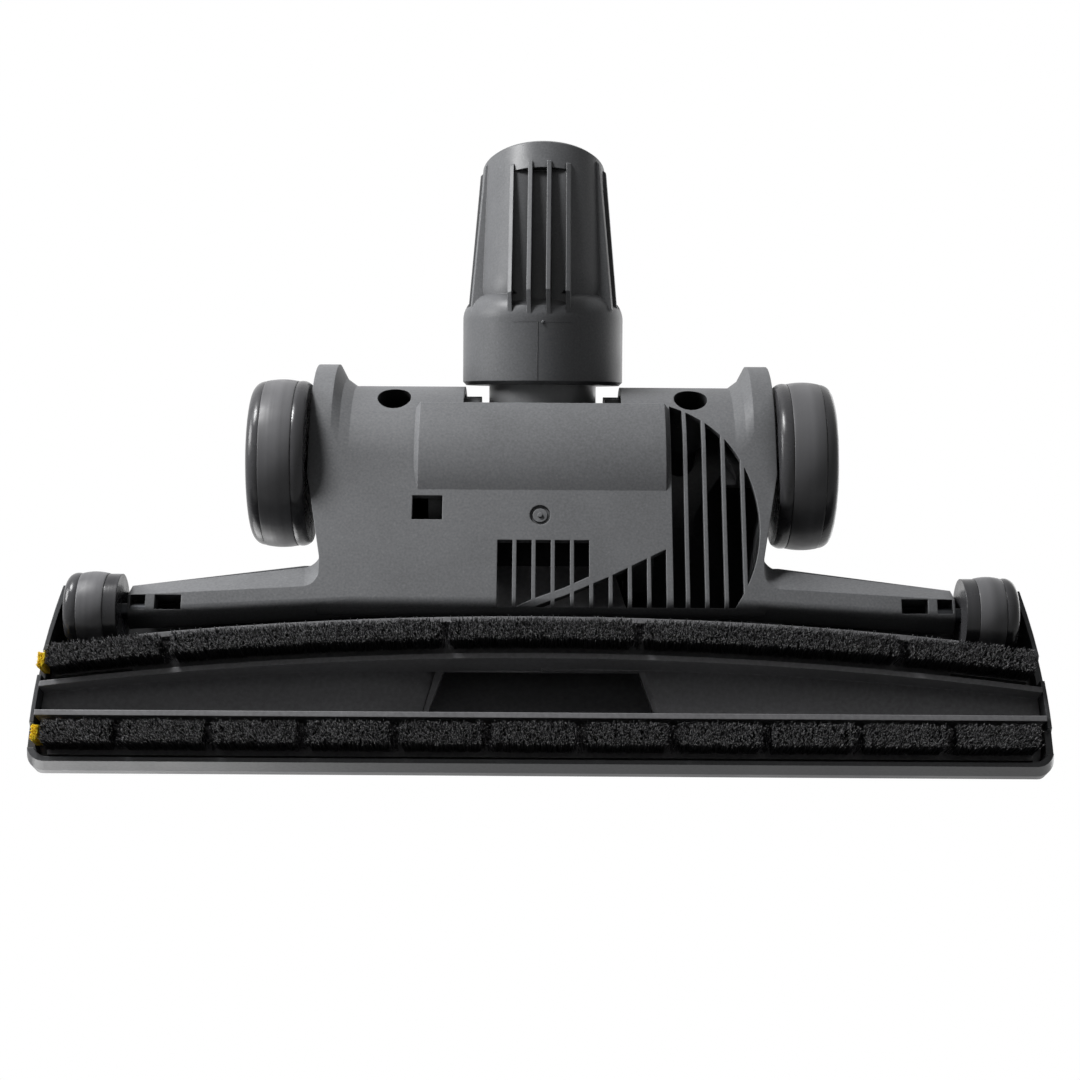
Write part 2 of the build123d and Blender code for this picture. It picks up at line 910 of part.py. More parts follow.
def barrel_seal():
    """Foam frame between duct end and barrel."""
    grow = duct_wall
    near = pivot_back - barrel_radius * seal_reach
    frame = block(-duct_half - grow, duct_half + grow, duct_end_back, near, duct_low - grow, duct_high + grow)
    frame -= block(-duct_half, duct_half, duct_end_back - spare, near + spare, duct_low, duct_high)
    gap = barrel_radius + bearing_gap
    return frame - rod(gap, -barrel_half, barrel_half, pivot_back, pivot_height)


def strip_blocks(gaps, half):
    """Spans between gaps along a strip."""
    edges = [-half] + [g for x in gaps for g in (x - tuft_gap / 2, x + tuft_gap / 2)] + [half]
    return list(zip(edges[0::2], edges[1::2]))


def front_carrier():
    """Backing of the front brush strip."""
    back = front_strip_back
    wide = carrier_width / 2
    z0 = web_bottom - carrier
    bar = block(-strip_half, strip_half, back - wide, back + wide, z0, web_bottom)
    return bar & inside_plan(wall + fit_gap, z0, web_bottom)


def front_bristles():
    """Tuft blocks of the front strip."""
    first = front_shift - (front_tuft_count - 2) / 2 * front_pitch
    gaps = [first + front_pitch * k for k in range(front_tuft_count - 1)]
    tufts = []
    wide = strip_width / 2
    for x0, x1 in strip_blocks(gaps, strip_half):
        tufts.append(
            block(
                x0, x1, front_strip_back - wide, front_strip_back + wide, tip_height, web_bottom - carrier
            )
        )
    return Compound(tufts)


def rear_carrier():
    """Curved backing of the rear brush strip."""
    low = web_bottom - carrier
    near = arm_end - 2 * spare
    middle = curved_band(rear_strip_back, carrier_width, near, low, web_bottom)
    end = curved_band(rear_strip_back, strip_width, strip_half, low, web_bottom)
    end &= block(near - spare, strip_half, 0, through, 0, through)
    return middle + both(end)


def rear_bristles():
    """Tuft blocks of the curved rear strip."""
    band = curved_band(rear_strip_back, strip_width, strip_half, tip_height, web_bottom - carrier)
    tufts = []
    for x0, x1 in strip_blocks(rear_gaps, strip_half):
        tufts.append(band & block(x0, x1, 0, through, 0, through))
    return Compound(tufts)


def edge_tufts():
    """Two yellow tufts in the notches of one end wall."""
    half = head_width / 2
    inner = half - flare - spare - tuft_length
    rear = rear_strip_back - strip_drop(half)
    room = inside_plan(flare + fit_gap, tuft_tip, tuft_top)
    tufts = []
    for back in (front_strip_back, rear):
        tuft = block(inner, half, back - tuft_half, back + tuft_half, tuft_tip, tuft_top - fit_gap)
        tufts.append(tuft & room)
    return Compound(tufts)


def neck_axis():
    """Frame at the foot of the neck axis, Z along the axis."""
    drop = math.radians(neck_drop)
    along = Vector(0, math.cos(drop), -math.sin(drop))
    elbow = Vector(0, y_at(elbow_back), elbow_height)
    pivot = Vector(0, y_at(pivot_back), pivot_height)
    foot = elbow - along * (elbow - pivot).dot(along)
    return Plane(origin=foot, x_dir=(1, 0, 0), z_dir=along), (elbow - pivot).dot(along)


def on_neck(points):
    """Turned shape about the neck axis from (distance, radius) points."""
    frame, reach = neck_axis()
    face = make_face([Polyline(*[(r, s) for s, r in points], close=True)])
    return frame * revolve(Plane.XZ * face, axis=Axis.Z)


def tube_frame():
    """Frame of the socket axis, Z pointing rearwards, origin at the elbow."""
    return Plane(origin=(0, y_at(elbow_back), elbow_height), x_dir=(1, 0, 0), z_dir=(0, 1, 0))


def pivot_barrel():
    """Hollow drum with window and neck stub."""
    reach = collar_start + collar_flange + ring_thick + stub_end
    drum = rod(barrel_radius, -barrel_half, barrel_half, pivot_back, pivot_height)
    stub = on_neck([(stub_start, 0), (stub_start, stub_radius), (reach, stub_radius), (reach, 0)])
    barrel = drum + stub
    inner = barrel_radius - barrel_wall
    room = barrel_half - barrel_wall
    barrel -= rod(inner, -room, room, pivot_back, pivot_height)
    bore = stub_radius - stub_wall
    end = reach + spare
    barrel -= on_neck([(spare, 0), (spare, bore), (end, bore), (end, 0)])
    return barrel - barrel_window()


def barrel_window():
    """Opening of the drum towards the duct, long enough for the whole tilt."""
    half = duct_half + spare
    low = barrel_radius / 2
    high = barrel_radius * 2
    face = make_face([Polyline((-half, low), (half, low), (half, high), (-half, high), close=True)])
    arc = revolve(face, axis=Axis.X, revolution_arc=window_low + window_high)
    return Pos(0, y_at(pivot_back), pivot_height) * Rot(180 - window_high, 0, 0) * arc


def swivel_ring():
    """Retaining ring on the stub inside the collar."""
    low = collar_start + collar_flange + fit_gap
    high = low + ring_thick
    inner = stub_radius + ring_gap
    return on_neck([(low, inner), (low, ring_radius), (high, ring_radius), (high, inner)])


def fin_group(end):
    """Four thin fins on one side of the socket, their edges on a cone."""
    start = fin_start_back - elbow_back
    full = fin_full_back - elbow_back
    outline = [
        (0, start),
        (fin_foot_radius, start),
        (fin_root_radius, full),
        (fin_tip_radius, end - fin_nose),
        (fin_tip_radius - fin_nose, end),
        (0, end),
    ]
    envelope = revolve(Plane.XZ * make_face([Polyline(*outline, close=True)]), axis=Axis.Z)
    plate = Box(2 * fin_root_radius, fin_thick, end - start, align=(Align.MIN, Align.CENTER, Align.MIN))
    fins = Part()
    for k in range(4):
        fins += Pos(0, (k - 1.5) * fin_pitch, start) * plate
    return fins & envelope


def fin_set():
    """All fins round the socket, those at its sides reaching closer to the mouth."""
    side = fin_group(fin_side_end_back - elbow_back)
    face = fin_group(fin_end_back - elbow_back)
    fins = Part()
    for quarter in range(4):
        fins += Rot(0, 0, 90 * quarter + fin_turn) * (face if quarter % 2 else side)
    return fins


def fin_pockets():
    """Hollows between the fins of each group."""
    low = pocket_start_back - elbow_back
    high = pocket_end_back - elbow_back
    wide = fin_pitch - fin_thick
    hollow = Box(2 * fin_root_radius, wide, high - low, align=(Align.MIN, Align.CENTER, Align.MIN))
    cuts = Part()
    for quarter in range(4):
        for k in range(3):
            place = Pos(pocket_floor, (k - 1) * fin_pitch, low)
            cuts += Rot(0, 0, 90 * quarter + fin_turn) * place * hollow
    return cuts


def beyond(start, full):
    """Everything past a cone that leans on the neck axis, where fins or hollows begin."""
    far = 2 * overall_length
    wide = 2 * collar_radius
    return on_neck(
        [(full, 0), (full, pocket_floor), (start, collar_radius), (start, wide), (far, wide), (far, 0)]
    )


def tube_body():
    """Outside of the socket, tapering towards its mouth."""
    length = overall_length - elbow_back
    cone = Pos(0, 0, length / 2) * Cone(tube_root_radius, tube_mouth_radius, length)
    rounded = chamfer(cone.edges().sort_by(Axis.Z)[-1], tube_chamfer)
    return rounded + Sphere(tube_root_radius)


def wand_tube():
    """Collar, elbow and finned wand socket."""
    frame, reach = neck_axis()
    end = collar_end + shoulder
    sharp = on_neck(
        [
            (collar_start, 0),
            (collar_start, collar_radius - collar_edge),
            (collar_start + collar_edge, collar_radius),
            (end, collar_radius),
            (end, 0),
        ]
    )
    collar = fillet(sharp.edges().sort_by(Axis(frame.origin, frame.z_dir))[-1], shoulder)
    place = tube_frame()
    room = collar_radius - collar_wall
    lip = collar_start + collar_flange
    roof = collar_end - collar_edge
    slope = roof + collar_wall
    guard = room + pocket_guard
    throat = airway_radius + pocket_guard
    kept = on_neck([(lip, 0), (lip, guard), (roof + pocket_guard, guard), (end, throat), (end, 0)])
    fins = place * fin_set() & beyond(fin_start, fin_start)
    hollows = place * fin_pockets() & beyond(pocket_start, pocket_full)
    body = collar + place * tube_body() + fins - (hollows - kept)
    body -= on_neck([(lip, 0), (lip, room), (roof, room), (slope, airway_radius), (slope, 0)])
    mouth = stub_radius + running_gap * 2
    near = collar_start - spare
    far = lip + spare
    body -= on_neck([(near, 0), (near, mouth), (far, mouth), (far, 0)])
    length = overall_length - elbow_back
    airway = Sphere(airway_radius) + Pos(0, 0, length / 2) * Cylinder(airway_radius, length)
    bore = Pos(0, 0, length - socket_depth / 2) * Cylinder(socket_radius, socket_depth)
    body -= place * (airway + bore)
    low = roof - throat_lap
    return body - on_neck([(low, 0), (low, airway_radius), (reach, airway_radius), (reach, 0)])


def wheel(inner, width, radius, axle, band, boss, back):
    """Hub and tread band of one wheel on the +X side."""
    outer = inner + width
    bore = axle + running_gap
    mid = inner + width * band_place
    near = mid - band
    far = mid + band
    groove = radius - band_depth
    edge = radius - band_crown
    land = edge - band_step
    rim = radius * wheel_rim_share
    side = radius * wheel_inner_share
    dish = width * wheel_dish_share
    near_bend = (inner + (near - inner) * wheel_bend, land - (land - side) * wheel_drop)
    far_bend = (outer - (outer - far) * wheel_bend, land - (land - rim) * wheel_drop)
    hub = spun(
        [
            Polyline((inner, bore), (inner, side)),
            ThreePointArc((inner, side), near_bend, (near, land)),
            Polyline((near, land), (near, groove), (far, groove), (far, land)),
            ThreePointArc((far, land), far_bend, (outer, rim)),
            Polyline(
                (outer, rim),
                (outer - dish, rim - band_depth),
                (outer - dish, boss + band_depth),
                (outer - wheel_face_step, boss),
                (outer - wheel_face_step, bore),
                (inner, bore),
            ),
        ],
        back,
        radius,
    )
    tread = spun(
        [
            Polyline((far, edge), (far, groove), (near, groove), (near, edge)),
            ThreePointArc((near, edge), (mid, radius), (far, edge)),
        ],
        back,
        radius,
    )
    return hub, tread


def rear_wheel():
    """Large wheel beside the rear housing."""
    return wheel(
        rear_wheel_in,
        rear_wheel_width,
        rear_wheel_radius,
        rear_axle_radius,
        rear_band,
        rear_boss,
        rear_axle_back,
    )


def front_wheel():
    """Small wheel at the end of an arm."""
    return wheel(
        front_wheel_in,
        front_wheel_width,
        front_wheel_radius,
        front_axle_radius,
        front_band,
        front_boss,
        front_axle_back,
    )


def rear_axle():
    """Pin of a rear wheel with a flat head."""
    face = rear_wheel_in + rear_wheel_width - wheel_face_step + fit_gap
    end = face + axle_head_thick
    pin = rod(rear_axle_radius, body_half - axle_grip, end, rear_axle_back, rear_wheel_radius)
    return pin + rod(rear_axle_radius + axle_head, face, end, rear_axle_back, rear_wheel_radius)


def front_axle():
    """Pin of a front wheel, held in the arm."""
    end = front_wheel_in + front_wheel_width - wheel_face_step / 2
    return rod(front_axle_radius, arm_end - front_axle_grip, end, front_axle_back, front_wheel_radius)


def housing_screws():
    """Two screws that join base and cover."""
    seat = well_depth - well_floor
    low = seat - screw_head_thick
    head = pillar(screw_head, well_across, well_back, low, seat)
    shank = pillar(screw_radius, well_across, well_back, low, well_depth + screw_length)
    cross = Part()
    for wide, deep in ((cross_half, cross_slot), (cross_slot, cross_half)):
        slot = Box(2 * wide, 2 * deep, screw_head_thick)
        cross += Pos(well_across, y_at(well_back), low) * slot
    screw = head + shank - cross
    return Compound([screw, mirrored(screw)])


def save(name, shape):
    """Write one part as a STEP file."""
    export_step(shape, "parts/" + name + ".step")


def main():
    """Build and write every part."""
    os.makedirs("parts", exist_ok=True)
    save("sole_plate", sole_plate())
    save("top_cover", top_cover())
    save("rear_base", rear_base())
    save("suction_duct", suction_duct())
    save("barrel_seal", barrel_seal())
    save("front_brush_carrier", front_carrier())
    save("front_bristles", front_bristles())
    save("rear_brush_carrier", rear_carrier())
    save("rear_bristles", rear_bristles())
    save("edge_tufts", edge_tufts())
    save("pivot_barrel", pivot_barrel())
    save("swivel_ring", swivel_ring())
    save("wand_tube", wand_tube())
    for place, maker in (("rear", rear_wheel), ("front", front_wheel)):
        hub, tread = maker()
        save(place + "_wheel_hub_left", hub)
        save(place + "_wheel_hub_right", mirrored(hub))
        save(place + "_tread_left", tread)
        save(place + "_tread_right", mirrored(tread))
    for place, maker in (("rear", rear_axle), ("front", front_axle)):
        axle = maker()
        save(place + "_axle_left", axle)
        save(place + "_axle_right", mirrored(axle))
    save("housing_screws", housing_screws())


main()
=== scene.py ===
"""Looks of a vacuum floor brush head: moulded plastics, brush filaments, light and camera.

Lengths are metres in the part's own frame, apart from fields that end in _mm.
"""

import json
import logging
import math
from collections.abc import Callable, Sequence
from dataclasses import dataclass, field
from enum import Enum

import bmesh
import bpy
import numpy as np
from mathutils import Matrix, Vector


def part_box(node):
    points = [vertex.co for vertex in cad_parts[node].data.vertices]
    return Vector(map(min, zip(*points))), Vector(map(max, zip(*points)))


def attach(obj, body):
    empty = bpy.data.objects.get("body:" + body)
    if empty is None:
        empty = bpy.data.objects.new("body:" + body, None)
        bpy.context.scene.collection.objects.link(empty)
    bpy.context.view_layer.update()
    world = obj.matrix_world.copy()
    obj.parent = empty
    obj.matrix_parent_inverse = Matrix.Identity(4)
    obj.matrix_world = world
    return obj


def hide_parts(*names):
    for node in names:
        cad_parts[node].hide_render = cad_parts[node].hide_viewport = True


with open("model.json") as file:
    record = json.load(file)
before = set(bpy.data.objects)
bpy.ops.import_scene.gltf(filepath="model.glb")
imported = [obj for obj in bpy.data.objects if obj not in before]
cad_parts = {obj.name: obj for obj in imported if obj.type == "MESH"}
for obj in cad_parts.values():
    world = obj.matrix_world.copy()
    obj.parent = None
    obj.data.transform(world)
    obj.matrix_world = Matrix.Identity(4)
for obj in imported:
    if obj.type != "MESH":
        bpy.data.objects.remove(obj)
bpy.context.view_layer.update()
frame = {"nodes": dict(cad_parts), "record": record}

LOG = logging.getLogger("brush_head")

Span = tuple[float, float]

# Most values of a noise pattern lie in this span.
MOST: Span = (0.3, 0.7)


class Slot(Enum):
    """Material slots of the part."""

    TEXTURED = "textured_plastic"
    SOLE = "sole_plastic"
    COVER = "cover_plastic"
    BARREL = "barrel_plastic"
    NECK = "neck_plastic"
    WHEEL = "wheel_plastic"
    TREAD = "tread_rubber"
    BRISTLE = "bristle"
    YELLOW = "yellow_bristle"
    FOAM = "foam"
    STEEL = "black_steel"


class Body(Enum):
    """Moving bodies that carry new pieces."""

    HEAD = "head"
    TUBE = "tube"


def mm(value: float) -> float:
    """Millimetres to metres."""
    return value / 1000.0


def per_mm(size_mm: float) -> float:
    """Texture scale whose features are that many millimetres across."""
    return 1000.0 / size_mm


def linear(code: str, alpha: float = 1.0) -> tuple[float, float, float, float]:
    """Turns an sRGB hex colour to linear.

    Args:
        code: Colour as six hex digits after a hash sign.
        alpha: Opacity that goes with it.

    Returns:
        Red, green, blue and alpha.
    """
    parts = [int(code[at : at + 2], 16) / 255.0 for at in (1, 3, 5)]
    red, green, blue = (v / 12.92 if v <= 0.04045 else ((v + 0.055) / 1.055) ** 2.4 for v in parts)
    return (red, green, blue, alpha)


def add_node(tree: bpy.types.NodeTree, kind: str, inputs: dict | None = None, **settings) -> bpy.types.Node:
    """Adds a node with its settings and links.

    Args:
        tree: Node tree that gets the node.
        kind: Blender's name of the node type.
        inputs: Values, or sockets to link, by input name or number.
        **settings: Attributes of the node.

    Returns:
        The new node.
    """
    node = tree.nodes.new(kind)
    for name, value in settings.items():
        setattr(node, name, value)
    for name, value in (inputs or {}).items():
        if isinstance(value, bpy.types.NodeSocket):
            tree.links.new(value, node.inputs[name])
        else:
            node.inputs[name].default_value = value
    return node


def noise(
    tree: bpy.types.NodeTree, place: bpy.types.NodeSocket, size_mm: float, detail: float
) -> bpy.types.NodeSocket:
    """Adds a noise pattern that fills space.

    Args:
        tree: Node tree that gets the node.
        place: Coordinates that it is laid in.
        size_mm: Size of its features.
        detail: How many finer layers it has.

    Returns:
        The pattern's value.
    """
    inputs = {"Vector": place, "Scale": per_mm(size_mm), "Detail": detail}
    return add_node(tree, "ShaderNodeTexNoise", inputs).outputs["Fac"]


def rings(
    tree: bpy.types.NodeTree, along: bpy.types.NodeSocket, size_mm: float, detail: float
) -> bpy.types.NodeSocket:
    """Adds a noise pattern along one axis, which shows as rings on a wheel.

    Args:
        tree: Node tree that gets the node.
        along: Coordinate along the axis.
        size_mm: Width of its rings.
        detail: How many finer layers it has.

    Returns:
        The pattern's value.
    """
    inputs = {"W": along, "Scale": per_mm(size_mm), "Detail": detail}
    return add_node(tree, "ShaderNodeTexNoise", inputs, noise_dimensions="1D").outputs["Fac"]


def spread(
    tree: bpy.types.NodeTree, value: bpy.types.NodeSocket, before: Span, after: Span
) -> bpy.types.NodeSocket:
    """Maps a value from one span to another and holds it at the ends.

    Args:
        tree: Node tree that gets the node.
        value: Value to map.
        before: Span that it comes from.
        after: Span that it goes to.

    Returns:
        The mapped value.
    """
    inputs = {
        "Value": value,
        "From Min": before[0],
        "From Max": before[1],
        "To Min": after[0],
        "To Max": after[1],
    }
    return add_node(tree, "ShaderNodeMapRange", inputs).outputs["Result"]


def combine(
    tree: bpy.types.NodeTree, operation: str, *values: bpy.types.NodeSocket
) -> bpy.types.NodeSocket:
    """Joins values by arithmetic.

    Args:
        tree: Node tree that gets the node.
        operation: Blender's name of the operation.
        *values: Values to join, in order.

    Returns:
        The result.
    """
    return add_node(tree, "ShaderNodeMath", dict(enumerate(values)), operation=operation).outputs["Value"]


@dataclass(frozen=True)
class Finish:
    """What each finish has: a material name, a colour and a gloss."""

    name: str
    colour: str
    roughness: float
    ior: float = 1.5
    gloss: float = 0.2

    def start(self) -> tuple[bpy.types.Material, bpy.types.NodeTree, bpy.types.Node]:
        """Makes the material with its constant values.

        Returns:
            The material, its node tree and its shader.
        """
        material = bpy.data.materials.new(self.name)
        material.use_nodes = True
        material.diffuse_color = linear(self.colour)
        tree = material.node_tree
        shader = tree.nodes["Principled BSDF"]
        shader.inputs["Base Color"].default_value = linear(self.colour)
        shader.inputs["Roughness"].default_value = self.roughness
        shader.inputs["IOR"].default_value = self.ior
        shader.inputs["Specular IOR Level"].default_value = self.gloss
        return material, tree, shader

    def make(self) -> bpy.types.Material:
        """Makes the finished material."""
        return self.start()[0]

    def tint(self, tree: bpy.types.NodeTree, shader: bpy.types.Node, tone: bpy.types.NodeSocket) -> None:
        """Lets a pattern lighten and darken the colour.

        Args:
            tree: Node tree of the material.
            shader: Its shader.
            tone: Pattern, 1 where the colour stays as it is.
        """
        colour = add_node(tree, "ShaderNodeHueSaturation", {"Color": linear(self.colour), "Value": tone})
        tree.links.new(colour.outputs["Color"], shader.inputs["Base Color"])

    def dull(
        self, tree: bpy.types.NodeTree, shader: bpy.types.Node, pattern: bpy.types.NodeSocket, change: Span
    ) -> None:
        """Lets a noise pattern vary the roughness.

        Args:
            tree: Node tree of the material.
            shader: Its shader.
            pattern: Noise pattern.
            change: Lowest and highest change.
        """
        matt = spread(tree, pattern, MOST, (self.roughness + change[0], self.roughness + change[1]))
        tree.links.new(matt, shader.inputs["Roughness"])


@dataclass(frozen=True)
class ReliefFinish(Finish):
    """Finish with softened edges and a raised pattern."""

    relief_mm: float = 0.03
    relief: float = 0.35
    edge_mm: float = 0.35
    edge_samples: int = 6

    def soft_edge(self, tree: bpy.types.NodeTree) -> bpy.types.NodeSocket:
        """Normals that round off the edges."""
        radius = {"Radius": mm(self.edge_mm)}
        return add_node(tree, "ShaderNodeBevel", radius, samples=self.edge_samples).outputs["Normal"]

    def emboss(
        self,
        tree: bpy.types.NodeTree,
        shader: bpy.types.Node,
        height: bpy.types.NodeSocket,
        normal: bpy.types.NodeSocket,
    ) -> None:
        """Raises a pattern on the surface.

        Args:
            tree: Node tree of the material.
            shader: Its shader.
            height: Pattern that is raised.
            normal: Normals that it is raised along.
        """
        inputs = {
            "Height": height,
            "Strength": self.relief,
            "Distance": mm(self.relief_mm),
            "Normal": normal,
        }
        bump = add_node(tree, "ShaderNodeBump", inputs)
        tree.links.new(bump.outputs["Normal"], shader.inputs["Normal"])


@dataclass(frozen=True)
class MouldedPlastic(ReliefFinish):
    """Injection-moulded plastic with the grain of its mould, dust, painted shade in its recesses and painted
    highlights on its edges.
    """

    grain_mm: float = 0.7
    grain_detail: float = 2.0
    grain_tone: float = 0.3
    grain_span: Span = (0.25, 0.75)
    mottle_mm: float = 22.0
    mottle_detail: float = 5.0
    mottle_span: Span = (0.35, 0.65)
    tone_spread: float = 0.07
    matt_spread: float = 0.06
    speck_mm: float = 0.8
    speck_detail: float = 0.0
    speck_level: float = 0.12
    speck_span: Span = (0.73, 0.8)
    edge_shine: float = 0.55
    edge_span: Span = (0.97, 0.75)
    highlight_openness_span: Span = (0.55, 0.85)
    recess_mm: float = 14.0
    recess_samples: int = 8
    painted_recess_shade: float = 0.12
    recess_span: Span = (0.3, 0.9)

    def make(self) -> bpy.types.Material:
        """Makes the finished material."""
        material, tree, shader = self.start()
        place = add_node(tree, "ShaderNodeTexCoord").outputs["Object"]
        grain = noise(tree, place, self.grain_mm, self.grain_detail)
        mottle = noise(tree, place, self.mottle_mm, self.mottle_detail)
        specks = noise(tree, place, self.speck_mm, self.speck_detail)
        tone = spread(tree, mottle, self.mottle_span, (1.0 - self.tone_spread, 1.0 + self.tone_spread))
        dust = spread(tree, specks, self.speck_span, (0.0, self.speck_level))
        pits = spread(tree, grain, self.grain_span, (-self.grain_tone / 2, self.grain_tone / 2))
        grained = combine(tree, "ADD", combine(tree, "ADD", tone, dust), pits)
        # Painted shade: ambient occlusion darkens the colour in recesses, corners and gaps between parts,
        # where shade would fall.
        reach = {"Distance": mm(self.recess_mm)}
        open_air = add_node(tree, "ShaderNodeAmbientOcclusion", reach, samples=self.recess_samples)
        openness = open_air.outputs["AO"]
        shaded = combine(
            tree, "MULTIPLY", grained, spread(tree, openness, self.recess_span, (self.painted_recess_shade, 1.0))
        )
        # Painted highlight: edges, where the rounded-off normal turns away from the face, are lightened on
        # open surfaces, as if they caught the light.
        edge = self.soft_edge(tree)
        face = add_node(tree, "ShaderNodeNewGeometry").outputs["Normal"]
        alike = add_node(tree, "ShaderNodeVectorMath", {0: edge, 1: face}, operation="DOT_PRODUCT")
        painted_edge_highlight = spread(tree, alike.outputs["Value"], self.edge_span, (0.0, self.edge_shine))
        shown = spread(tree, openness, self.highlight_openness_span, (0.0, 1.0))
        self.tint(tree, shader, combine(tree, "MULTIPLY_ADD", painted_edge_highlight, shown, shaded))
        self.dull(tree, shader, mottle, (-self.matt_spread, self.matt_spread))
        self.emboss(tree, shader, grain, edge)
        return material


@dataclass(frozen=True)
class TurnedFinish(ReliefFinish):
    """Wheel surface with fine lines round its axle, along which it was moulded and has rolled."""

    relief_mm: float = 0.05
    relief: float = 0.5
    edge_mm: float = 0.5
    line_mm: float = 0.8
    line_detail: float = 3.0
    band_mm: float = 3.6
    band_detail: float = 1.0
    tone_spread: float = 0.18
    scuff_mm: float = 5.0
    scuff_detail: float = 6.0
    scuff_change: Span = (-0.08, 0.1)

    def make(self) -> bpy.types.Material:
        """Makes the finished material."""
        material, tree, shader = self.start()
        place = add_node(tree, "ShaderNodeTexCoord").outputs["Object"]
        along = add_node(tree, "ShaderNodeSeparateXYZ", {"Vector": place}).outputs["X"]
        lines = rings(tree, along, self.line_mm, self.line_detail)
        bands = rings(tree, along, self.band_mm, self.band_detail)
        scuffs = noise(tree, place, self.scuff_mm, self.scuff_detail)
        self.tint(tree, shader, spread(tree, bands, MOST, (1.0 - self.tone_spread, 1.0 + self.tone_spread)))
        self.dull(tree, shader, scuffs, self.scuff_change)
        self.emboss(tree, shader, lines, self.soft_edge(tree))
        return material


@dataclass(frozen=True)
class FilamentFinish(Finish):
    """Drawn nylon: each filament has its own random tone, with a painted highlight at its tip and painted
    shade towards its root, so that tips show as specks.
    """

    tip_highlight_colour: str = "#6a6a6c"
    tip_start: float = 0.88
    root_lit_share: float = 0.0

    def make(self) -> bpy.types.Material:
        """Makes the finished material."""
        material, tree, shader = self.start()
        shade = add_node(tree, "ShaderNodeAttribute", attribute_name=BrushFilaments.SHADE).outputs["Fac"]
        reach = add_node(tree, "ShaderNodeAttribute", attribute_name=BrushFilaments.REACH).outputs["Fac"]
        # Painted highlight and shade: each filament is lightened towards its tip and kept dark towards its
        # root, as if only the tips caught the light.
        lit = spread(tree, reach, (self.tip_start, 1.0), (self.root_lit_share, 1.0))
        share = combine(tree, "MULTIPLY", shade, lit)
        # The node has sockets for each kind of data: inputs 6 and 7 and output 2 are its colours.
        colours = {0: share, 6: linear(self.colour), 7: linear(self.tip_highlight_colour)}
        mixed = add_node(tree, "ShaderNodeMix", colours, data_type="RGBA")
        tree.links.new(mixed.outputs[2], shader.inputs["Base Color"])
        return material


@dataclass(frozen=True)
class MetalFinish(Finish):
    """Plain turned steel with fine scratches."""

    scratch_mm: float = 0.4
    scratch_detail: float = 4.0
    scratch_change: Span = (-0.1, 0.12)

    def make(self) -> bpy.types.Material:
        """Makes the finished material."""
        material, tree, shader = self.start()
        shader.inputs["Metallic"].default_value = 1.0
        place = add_node(tree, "ShaderNodeTexCoord").outputs["Object"]
        scratches = noise(tree, place, self.scratch_mm, self.scratch_detail)
        self.dull(tree, shader, scratches, self.scratch_change)
        return material


# What each finish gives the eye is said above it.
FINISHES: dict[Slot, Finish] = {
    # Spark-eroded mould: an even fine grain that turns light to a soft grey.
    Slot.TEXTURED: MouldedPlastic("abs_spark_textured", "#666769", 0.52, relief=0.5),
    # Polished mould: a satin sheen along the ribs, with a little painted shade in the channels between them.
    Slot.SOLE: MouldedPlastic(
        "abs_satin_black", "#707072", 0.36, relief=0.12, grain_mm=1.2, painted_recess_shade=0.85
    ),
    # Lightly textured shell: a shade darker than the base.
    Slot.COVER: MouldedPlastic(
        "abs_satin_charcoal", "#454648", 0.4, relief=0.2, grain_mm=0.9, painted_recess_shade=0.35
    ),
    # Slippery bearing plastic: paler and glossier than its neighbours.
    Slot.BARREL: MouldedPlastic(
        "pom_pale_grey",
        "#acadaf",
        0.36,
        relief=0.1,
        grain_mm=1.5,
        grain_tone=0.1,
        tone_spread=0.02,
        painted_recess_shade=0.6,
    ),
    # Tougher moulding of the neck: fine grain with soft broad highlights.
    Slot.NECK: MouldedPlastic("pp_textured_grey", "#58595b", 0.42, relief=0.35, grain_mm=0.6),
    # Hard glossy wheel: dark, with sharp highlights at its shoulders.
    Slot.WHEEL: TurnedFinish("pp_gloss_dark", "#3a3a3c", 0.24, relief=0.2),
    # Soft running band: duller and a little lighter, with rings.
    Slot.TREAD: TurnedFinish("tpe_satin_grey", "#5a5a5c", 0.38, relief=0.5),
    # Black nylon pile with painted highlights on its cut ends.
    Slot.BRISTLE: FilamentFinish("nylon_black", "#0c0c0d", 0.4, gloss=0.3, tip_highlight_colour="#d0d0d2"),
    # Yellow nylon, with painted highlights towards its tips, as if light passed through it.
    Slot.YELLOW: FilamentFinish("nylon_yellow", "#e2b204", 0.4, tip_highlight_colour="#fff04a", root_lit_share=0.7),
    # Cellular foam: dull black.
    Slot.FOAM: MouldedPlastic("pe_foam_black", "#222223", 0.9, relief=0.9, grain_mm=0.9, relief_mm=0.2),
    # Blackened steel of pins and screws: dark, with a thin cold glint.
    Slot.STEEL: MetalFinish("blackened_steel", "#2c2d2f", 0.42),
}


class Wardrobe:
    """Makes each material once and dresses nodes and pieces with it."""

    def __init__(self) -> None:
        """Makes all the materials."""
        self.materials = {slot: finish.make() for slot, finish in FINISHES.items()}

    def dress(self, piece: bpy.types.Object, slot: Slot) -> None:
        """Gives a new piece its finish.

        Args:
            piece: New piece.
            slot: Material slot that it takes its finish from.
        """
        piece.data.materials.clear()
        piece.data.materials.append(self.materials[slot])

    def dress_nodes(self) -> None:
        """Gives every carried-over node the finish of its slot."""
        for entry in frame["record"]["subparts"]:
            node = frame["nodes"][entry["node"]]
            material = self.materials[Slot(entry["material_slot"])]
            for holder in node.material_slots:
                holder.material = material
            LOG.info("dressed %s", entry["node"])


def deselect() -> None:
    """Deselects every object."""
    bpy.ops.object.select_all(action="DESELECT")


